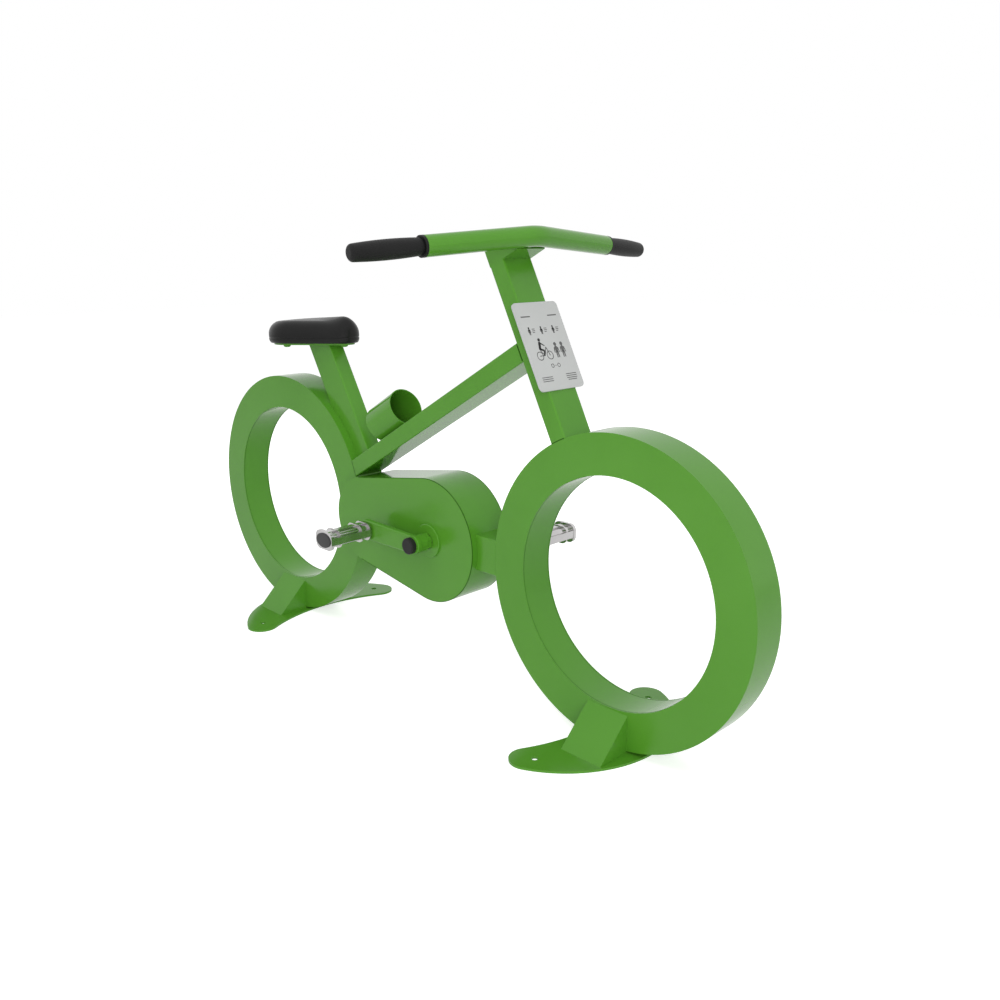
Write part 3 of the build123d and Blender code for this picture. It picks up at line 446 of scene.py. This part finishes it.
def saddle_point(x, y, rise):
    """Point over the saddle plate; the crown leans more than the underside."""
    share = rise / PAD_HEIGHT
    up = Vector((-math.sin(SADDLE_TILT), 0.0, math.cos(SADDLE_TILT)))
    lean = SADDLE_TILT + SADDLE_WEDGE * share
    place = SADDLE_ORIGIN + up * (SADDLE_PLATE + rise - edge_fall(x, y) * share)
    return place + Vector((x * math.cos(lean), y, x * math.sin(lean)))


def saddle_row(builder, outline, rise):
    return [builder.verts.new(saddle_point(point.x, point.y, rise)) for point in outline]


def on_spine(point):
    """Nearest place on the pad's middle line."""
    return Vector((min(max(point.x, SPINE_REAR), SPINE_NOSE), 0.0))


def close_on_spine(builder, row, outline, rise):
    """Fills a row up to the pad's middle line."""
    spine = {}
    ends = []
    for point in outline:
        x = round(on_spine(point).x, SPINE_DIGITS)
        if x not in spine:
            spine[x] = builder.verts.new(saddle_point(x, 0.0, rise))
        ends.append(spine[x])
    for index, vertex in enumerate(row):
        after = (index + 1) % len(row)
        corners = dict.fromkeys((vertex, row[after], ends[after], ends[index]))
        builder.faces.new(list(corners))


pad = bmesh.new()
profile = pad_profile()
under = pad_outline(profile[0][0])
edge_inset, edge_height = profile[-1]
edge = pad_outline(edge_inset)
pad_rows = [saddle_row(pad, pad_outline(inset), height) for inset, height in profile]
for step in range(1, CROWN_STEPS + 1):
    share = step / (CROWN_STEPS + 1)
    inner = [point.lerp(on_spine(point), share) for point in edge]
    pad_rows.append(saddle_row(pad, inner, edge_height + CROWN_RISE * (1 - (1 - share) ** 2)))
for first, second in zip(pad_rows, pad_rows[1:]):
    bridge(pad, first, second)
close_on_spine(pad, pad_rows[0], under, 0.0)
close_on_spine(pad, pad_rows[-1], edge, edge_height + CROWN_RISE)
saddle_skin = make_piece("saddle_skin", pad, MATERIALS["saddle_foam"])
shade_smooth(saddle_skin)
smoother = saddle_skin.modifiers.new("smooth", "SUBSURF")
smoother.levels = 1
smoother.render_levels = 1
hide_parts("saddle_pad")


# Lines along the edges of the case and inside the rings: thin strips like a rolled edge, coloured
# dark green as painted shade for the gaps there

CASE_SEAM_HALF = 0.8 * MM
CASE_SEAM_SUNK = 1.3 * MM
RING_SEAM_HALF = 0.45 * MM
RING_SEAM_PROUD = 0.25 * MM
SEAM_SUNK = 0.6 * MM
LINE_PROUD = 0.12 * MM
SEAM_SHARP = math.radians(40)


def section(half_width, proud, sunk):
    """Corners of a line of sealer: how far across it and how far out of the surface."""
    return (-half_width, -sunk), (-half_width, proud), (half_width, proud), (half_width, -sunk)


def seam_shade_line(name, run, corners, closed=True):
    """Dark line of painted shade along points in a plane of constant Y, each with its way into
    the sheet.
    """
    builder = bmesh.new()
    rows = [
        [builder.verts.new(point + LEFT * across - inward * out) for point, inward in run]
        for across, out in corners
    ]
    band(builder, rows, closed)
    shade_smooth(make_piece(name, builder, SEAM_SHADE), SEAM_SHARP)


def case_run(y, steps=96):
    """Points of the case's outline clear of the rear ring, with their ways into the case."""
    front = CASE_FRONT + LEFT * y
    rear = CASE_REAR + LEFT * y
    turn = math.pi - math.acos((CASE_FRONT_R - CASE_REAR_R) / CASE_CENTRES)

    def straight(out, order):
        first = rear + out * CASE_REAR_R
        last = front + out * CASE_FRONT_R
        return [(first.lerp(last, step / steps), -out) for step in order]

    run = straight(polar(-turn), range(steps))
    for step in range(steps):
        out = polar(-turn + 2 * turn * step / steps)
        run.append((front + out * CASE_FRONT_R, -out))
    run += straight(polar(turn), range(steps, -1, -1))
    ring = REAR_CENTRE + LEFT * y
    return [(point, inward) for point, inward in run if (point - ring).length > RING_OUTER_R]


def ring_run(centre, y, steps=160):
    """Points round the inside of a ring, with their ways into its inner band."""
    ways = [polar(2 * math.pi * step / steps) for step in range(steps)]
    return [(centre + out * RING_INNER_R + LEFT * y, out) for out in ways]


case_corners = section(CASE_SEAM_HALF, LINE_PROUD, CASE_SEAM_SUNK)
ring_corners = section(RING_SEAM_HALF, RING_SEAM_PROUD, SEAM_SUNK)
for side, way in SIDES:
    case_edge = case_run(way * (CASE_HALF - CASE_SEAM_HALF + LINE_PROUD))
    seam_shade_line(f"case_{side}_seam", case_edge, case_corners, closed=False)
    for end, centre in (("front", FRONT_CENTRE), ("rear", REAR_CENTRE)):
        ring_edge = ring_run(centre, way * (RING_HALF - RING_SHEET))
        seam_shade_line(f"{end}_ring_{side}_seam", ring_edge, ring_corners)


# Dark lines of painted shade where a tube ends flush with the side of what it is welded to, for
# the gap in the joint

JOINT_HALF = 0.9 * MM
JOINT_STEPS = 16

top_head = FRONT_CENTRE + COLUMN_DIR * (RING_OUTER_R + TOP_JOINT)
top_foot = REAR_CENTRE + polar(TOP_FOOT_TURN) * RING_OUTER_R
top_dir = (top_head - top_foot).normalized()
top_up = Vector((-top_dir.z, 0.0, top_dir.x))


def on_ring(centre, start, way):
    """Where a line leaves the outer circle of a ring."""
    place = start - centre
    along = place.dot(way)
    ahead = math.sqrt(along ** 2 - place.length_squared + RING_OUTER_R ** 2) - along
    return start + way * ahead


def on_column(start):
    """Where a line along the top tube meets the rear face of the column."""
    gap = (start - top_head).dot(COLUMN_AHEAD) + TUBE_HALF
    return start - top_dir * (gap / top_dir.dot(COLUMN_AHEAD))


def joint_shade_line(name, line, way):
    """Dark line of painted shade along points on one side of the frame."""
    builder = bmesh.new()
    corners = section(JOINT_HALF, LINE_PROUD, SEAM_SUNK)
    rows = [[] for corner in corners]
    for index, point in enumerate(line):
        before = line[max(index - 1, 0)]
        after = line[min(index + 1, len(line) - 1)]
        aside = LEFT.cross(after - before).normalized()
        for row, (across, out) in zip(rows, corners):
            place = point + aside * across + LEFT * way * (RING_HALF + out)
            row.append(builder.verts.new(place))
    band(builder, rows, closed=False)
    make_piece(name, builder, JOINT_SHADE)


tube_side = [(2 * step / JOINT_STEPS - 1) * TUBE_FLAT for step in range(JOINT_STEPS + 1)]
joint_lines = {
    "top_tube_foot": [on_ring(REAR_CENTRE, top_foot + top_up * at, top_dir) for at in tube_side],
    "top_tube_head": [on_column(top_head + top_up * at) for at in tube_side],
    "column_foot": [
        on_ring(FRONT_CENTRE, FRONT_CENTRE + COLUMN_AHEAD * at, COLUMN_DIR) for at in tube_side
    ],
}
for side, way in SIDES:
    for joint, line in joint_lines.items():
        joint_shade_line(f"{joint}_{side}_seam", line, way)


# Hexagon sockets in the heads of the cover screws, drawn as dark hexagons a little proud of the
# heads: painted shade for the recesses

LUG_INSET = CASE_SHEET + WELD_GAP + LUG_R
SCREW_FACE = LEFT * (CASE_HALF + SCREW_HEAD)
SOCKET_R = 2.9 * MM
SOCKET_RIM = 0.5 * MM
SOCKET_PROUD = 0.10 * MM
SOCKET_LOOPS = (
    (SOCKET_R + SOCKET_RIM, -SOCKET_PROUD),
    (SOCKET_R, SOCKET_PROUD),
    (SOCKET_R / 3, SOCKET_PROUD / 4),
)


def hexagon(builder, middle, radius, turn):
    """Loop of six vertices in a plane of constant Y."""
    angles = [turn + math.pi * corner / 3 for corner in range(6)]
    return [builder.verts.new(middle + polar(angle) * radius) for angle in angles]


sockets = bmesh.new()
for centre, radius, facing in ((CASE_FRONT, CASE_FRONT_R, 1), (CASE_REAR, CASE_REAR_R, -1)):
    for swing in (0.0, LUG_SWING, -LUG_SWING):
        way = Vector((facing * math.cos(swing), 0.0, math.sin(swing)))
        spot = centre + way * (radius - LUG_INSET) + SCREW_FACE
        stack(sockets, [
            hexagon(sockets, spot + LEFT * out, reach, swing) for reach, out in SOCKET_LOOPS
        ])
make_piece("cover_screw_sockets", sockets, SOCKET_SHADE)


# Sign: a plain panel of generic pictograms, laid out in millimetres from its middle

PRINT = 0.15 * MM
SIGN_MIDDLE = (
    FRONT_CENTRE
    + COLUMN_DIR * (RING_OUTER_R + SIGN_RISE)
    + COLUMN_AHEAD * (TUBE_HALF + SIGN_THICKNESS)
)
DISC_STEPS = 20
HOOP_STEPS = 32
LIMB_STEPS = 8


def sign_loop(builder, outline, out):
    """Vertices of an outline, raised from the face of the sign."""
    return [
        builder.verts.new(
            SIGN_MIDDLE + LEFT * (u * MM) + COLUMN_DIR * (v * MM) + COLUMN_AHEAD * out
        )
        for u, v in outline
    ]


def arc(u, v, radius, start, sweep, steps):
    """Points at even steps from the start of an arc, without its end."""
    angles = [start + sweep * step / steps for step in range(steps)]
    return [(u + radius * math.cos(angle), v + radius * math.sin(angle)) for angle in angles]


def prism(builder, outline):
    stack(builder, [sign_loop(builder, outline, out) for out in (0.0, PRINT)])


def bar(builder, u, v, width, height):
    corners = ((-1, -1), (1, -1), (1, 1), (-1, 1))
    prism(builder, [(u + x * width / 2, v + y * height / 2) for x, y in corners])


def disc(builder, u, v, radius):
    prism(builder, arc(u, v, radius, 0.0, 2 * math.pi, DISC_STEPS))


def hoop(builder, u, v, radius, width):
    """Flat ring with a hole."""
    outer = arc(u, v, radius, 0.0, 2 * math.pi, HOOP_STEPS)
    inner = arc(u, v, radius - width, 0.0, 2 * math.pi, HOOP_STEPS)
    corners = ((outer, 0.0), (outer, PRINT), (inner, PRINT), (inner, 0.0))
    band(builder, [sign_loop(builder, outline, out) for outline, out in corners])


def limb(builder, start, end, first, second):
    """Rounded limb between two points, with its own width at each end."""
    way = math.atan2(end[1] - start[1], end[0] - start[0])
    outline = []
    for (u, v), width, turn in ((start, first, math.pi / 2), (end, second, -math.pi / 2)):
        for step in range(LIMB_STEPS + 1):
            angle = way + turn + math.pi * step / LIMB_STEPS
            outline.append((u + width / 2 * math.cos(angle), v + width / 2 * math.sin(angle)))
    prism(builder, outline)


# Standing figure of height 1: start, end and the two widths of each limb
HEAD_RISE, HEAD_R = 0.86, 0.12
TORSO = ((0.0, 0.62), (0.0, 0.42), 0.26, 0.20)
ARM = ((0.15, 0.62), (0.20, 0.34), 0.08, 0.06)
LEG = ((0.06, 0.38), (0.07, 0.04), 0.11, 0.08)


def standing(builder, u, v, size):
    """Generic standing figure."""
    disc(builder, u, v + HEAD_RISE * size, HEAD_R * size)
    for (start, end, first, second), sides in ((TORSO, (1,)), (ARM, (-1, 1)), (LEG, (-1, 1))):
        for side in sides:
            joints = [(u + side * x * size, v + y * size) for x, y in (start, end)]
            limb(builder, *joints, first * size, second * size)


HEADING_BARS = ((-38.0, 62.0, 26.0, 2.4), (38.0, 62.0, 26.0, 2.4))
SMALL_FIGURES = (-34.0, 0.0, 34.0)
SMALL_FIGURE = (-6.0, 24.0, 17.0)
FIGURE_BARS = ((6.0, 36.0, 8.0, 1.4), (6.0, 32.5, 8.0, 1.4), (5.0, 29.0, 6.0, 1.4))
WHEELS = ((-33.0, -20.0, 9.0, 1.3), (-5.0, -20.0, 9.0, 1.3))
RIDER_HEAD = (-23.0, 13.0, 3.4)
RIDER_LIMBS = (
    ((-24.0, 6.5), (-27.5, -5.5), 6.5, 6.0),
    ((-27.0, -6.0), (-17.5, -9.5), 5.0, 3.6),
    ((-17.5, -9.5), (-20.5, -19.5), 3.6, 2.6),
    ((-22.0, 6.0), (-13.0, 0.5), 2.6, 2.0),
)
BICYCLE_TUBES = (
    ((-28.0, -9.5), (-19.5, -20.0), 1.6, 1.6),
    ((-19.5, -20.0), (-10.0, -3.0), 1.6, 1.6),
    ((-10.0, -3.0), (-5.0, -20.0), 1.6, 1.6),
    ((-33.0, -20.0), (-19.5, -20.0), 1.4, 1.4),
)
LARGE_FIGURES = ((18.0, -27.0, 33.0), (36.0, -27.0, 33.0))
SMALL_RINGS = ((-8.0, -42.0, 4.2, 1.2), (10.0, -42.0, 4.2, 1.2))
RING_LINK = (1.0, -42.0, 4.0, 1.0)
NOTES = ((36.0, -62.0, (30.0, 30.0, 30.0, 25.0)), (-34.0, -64.0, (30.0, 30.0, 30.0)))
NOTE_PITCH = 4.0
NOTE_HEIGHT = 1.5

dark_print = bmesh.new()
for middle in SMALL_FIGURES:
    u, v, size = SMALL_FIGURE
    standing(dark_print, middle + u, v, size)
for ring in WHEELS:
    hoop(dark_print, *ring)
disc(dark_print, *RIDER_HEAD)
for shape in RIDER_LIMBS + BICYCLE_TUBES:
    limb(dark_print, *shape)
for ring in SMALL_RINGS:
    hoop(dark_print, *ring)
make_piece("sign_print_dark", dark_print, INK)

grey_print = bmesh.new()
for line in HEADING_BARS:
    bar(grey_print, *line)
for middle in SMALL_FIGURES:
    for u, v, width, height in FIGURE_BARS:
        bar(grey_print, middle + u, v, width, height)
for figure in LARGE_FIGURES:
    standing(grey_print, *figure)
bar(grey_print, *RING_LINK)
for u, top, widths in NOTES:
    for row, width in enumerate(widths):
        bar(grey_print, u, top - NOTE_PITCH * row, width, NOTE_HEIGHT)
make_piece("sign_print_grey", grey_print, GREY_INK)


# Floor, light and camera

WHITE = (1.0, 1.0, 1.0, 1.0)
FLOOR_HALF = 12.0
FLOOR_COLOUR = (0.84, 0.84, 0.84, 1.0)
FLOOR_GLOW = 0.30
CAMERA_GLOW = 0.36
SKY_LIGHT = 0.44
SKY_SEEN = 1.0
LAMPS = (  # name, place, target, width and power in watts
    ("overhead", (0.6, -1.2, 3.6), (0.0, 0.0, 0.4), 3.0, 32.0),
    ("front_fill", (4.3, -4.1, 2.3), (0.0, 0.0, 0.45), 3.2, 145.0),
    ("rear_fill", (-2.2, 1.9, 1.6), (0.0, 0.0, 0.45), 2.0, 26.0),
)
CAMERA_AT = (1.63226, -1.42254, 0.97557)
CAMERA_TO = (0.20991, -0.0001, 0.43656)
SENSOR_WIDTH = 36.0
LENS = 34.86


def seen_directly(tree, rays):
    """1 for rays from the camera, mirrors and glass, and 0 for the light that falls on things."""
    mirrored = calculate(tree, "MAXIMUM", rays["Is Camera Ray"], rays["Is Glossy Ray"])
    return calculate(tree, "MAXIMUM", mirrored, rays["Is Transmission Ray"])


def pale_floor():
    """Matt floor with a glow that is seen, most of it by the camera, and lights nothing."""
    material, tree, shader = new_material("pale_floor")
    tree.nodes.remove(shader)
    rays = tree.nodes.new("ShaderNodeLightPath").outputs
    matt = tree.nodes.new("ShaderNodeBsdfDiffuse")
    matt.inputs["Color"].default_value = FLOOR_COLOUR
    glow = tree.nodes.new("ShaderNodeEmission")
    glow.inputs["Color"].default_value = WHITE
    lift = calculate(tree, "MULTIPLY", rays["Is Camera Ray"], CAMERA_GLOW)
    strength = calculate(tree, "MULTIPLY_ADD", seen_directly(tree, rays), FLOOR_GLOW, lift)
    tree.links.new(strength, glow.inputs["Strength"])
    both = tree.nodes.new("ShaderNodeAddShader")
    tree.links.new(matt.outputs["BSDF"], both.inputs[0])
    tree.links.new(glow.outputs["Emission"], both.inputs[1])
    tree.links.new(both.outputs["Shader"], tree.nodes["Material Output"].inputs["Surface"])
    return material


def studio():
    """World that is seen as white and gives a softer light."""
    world = bpy.data.worlds.new("studio")
    world.use_nodes = True
    tree = world.node_tree
    rays = tree.nodes.new("ShaderNodeLightPath").outputs
    light = tree.nodes["Background"]
    backdrop = tree.nodes.new("ShaderNodeBackground")
    mix = tree.nodes.new("ShaderNodeMixShader")
    tree.links.new(seen_directly(tree, rays), mix.inputs["Fac"])
    for node, strength, socket in ((light, SKY_LIGHT, 1), (backdrop, SKY_SEEN, 2)):
        node.inputs["Color"].default_value = WHITE
        node.inputs["Strength"].default_value = strength
        tree.links.new(node.outputs["Background"], mix.inputs[socket])
    tree.links.new(mix.outputs["Shader"], tree.nodes["World Output"].inputs["Surface"])
    return world


def place_at(data, place, target):
    """Object of the scene for a lamp or a camera, aimed at a target."""
    obj = bpy.data.objects.new(data.name, data)
    bpy.context.scene.collection.objects.link(obj)
    obj.location = place
    obj.rotation_mode = "QUATERNION"
    obj.rotation_quaternion = (Vector(target) - Vector(place)).to_track_quat("-Z", "Y")
    return obj


floor_builder = bmesh.new()
floor_builder.faces.new([
    floor_builder.verts.new((x * FLOOR_HALF, y * FLOOR_HALF, 0.0))
    for x, y in ((-1, -1), (1, -1), (1, 1), (-1, 1))
])
floor = add_object("floor", floor_builder, pale_floor())

bpy.context.scene.world = studio()
for name, place, target, width, power in LAMPS:
    lamp_data = bpy.data.lights.new(name, "AREA")
    lamp_data.shape = "SQUARE"
    lamp_data.size = width
    lamp_data.energy = power
    place_at(lamp_data, place, target).visible_glossy = False

camera_data = bpy.data.cameras.new("camera")
camera_data.sensor_width = SENSOR_WIDTH
camera_data.lens = LENS
bpy.context.scene.camera = place_at(camera_data, CAMERA_AT, CAMERA_TO)
bpy.context.scene.view_settings.view_transform = "Standard"
